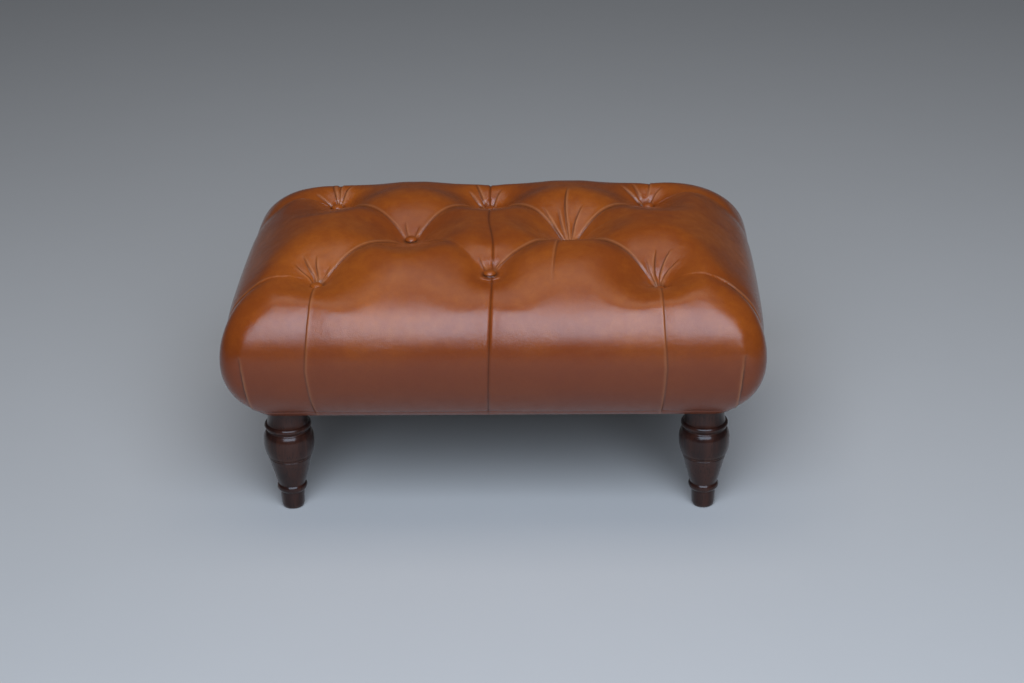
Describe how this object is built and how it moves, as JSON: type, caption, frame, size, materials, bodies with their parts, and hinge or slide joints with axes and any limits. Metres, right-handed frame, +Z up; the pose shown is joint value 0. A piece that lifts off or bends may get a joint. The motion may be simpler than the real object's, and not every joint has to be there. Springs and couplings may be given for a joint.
{
  "type": "buttoned footstool",
  "caption": "Low rectangular footstool with a deep-buttoned leather cushion body, a centre seam and turned wooden legs.",
  "frame": {"origin": "on the floor under the middle of the stool", "axes": "+X along the stool's length, -Y towards its front, +Z up"},
  "size_m": [0.72, 0.464, 0.372],
  "materials": {
    "cover_leather": "satin",
    "button_leather": "satin",
    "turned_wood": "gloss",
    "frame_wood": "matte",
    "plywood": "matte",
    "zinc_steel": "satin",
    "foam": "matte",
    "wadding": "matte",
    "twine": "matte",
    "dust_cloth": "matte"
  },
  "bodies": {
    "root": {"button_cores": "zinc_steel", "button_front_centre": "button_leather", "button_front_left": "button_leather", "button_front_right": "button_leather", "button_middle_left": "button_leather", "button_middle_right": "button_leather", "button_rear_centre": "button_leather", "button_rear_left": "button_leather", "button_rear_right": "button_leather", "button_twines": "twine", "centre_rail": "frame_wood", "corner_block_front_left": "frame_wood", "corner_block_front_right": "frame_wood", "corner_block_rear_left": "frame_wood", "corner_block_rear_right": "frame_wood", "corner_block_screws": "zinc_steel", "cover_left": "cover_leather", "cover_right": "cover_leather", "cover_staples": "zinc_steel", "deck_board": "plywood", "deck_screws": "zinc_steel", "dust_cover": "dust_cloth", "dust_cover_staples": "zinc_steel", "foam_core": "foam", "front_rail": "frame_wood", "left_rail": "frame_wood", "leg_bolts": "zinc_steel", "leg_front_left": "turned_wood", "leg_front_right": "turned_wood", "leg_rear_left": "turned_wood", "leg_rear_right": "turned_wood", "rail_dowels": "frame_wood", "rear_rail": "frame_wood", "right_rail": "frame_wood", "side_pad_front": "foam", "side_pad_left": "foam", "side_pad_rear": "foam", "side_pad_right": "foam", "tee_nuts": "zinc_steel", "twine_toggles": "frame_wood", "wadding": "wadding"}
  },
  "joints": []
}
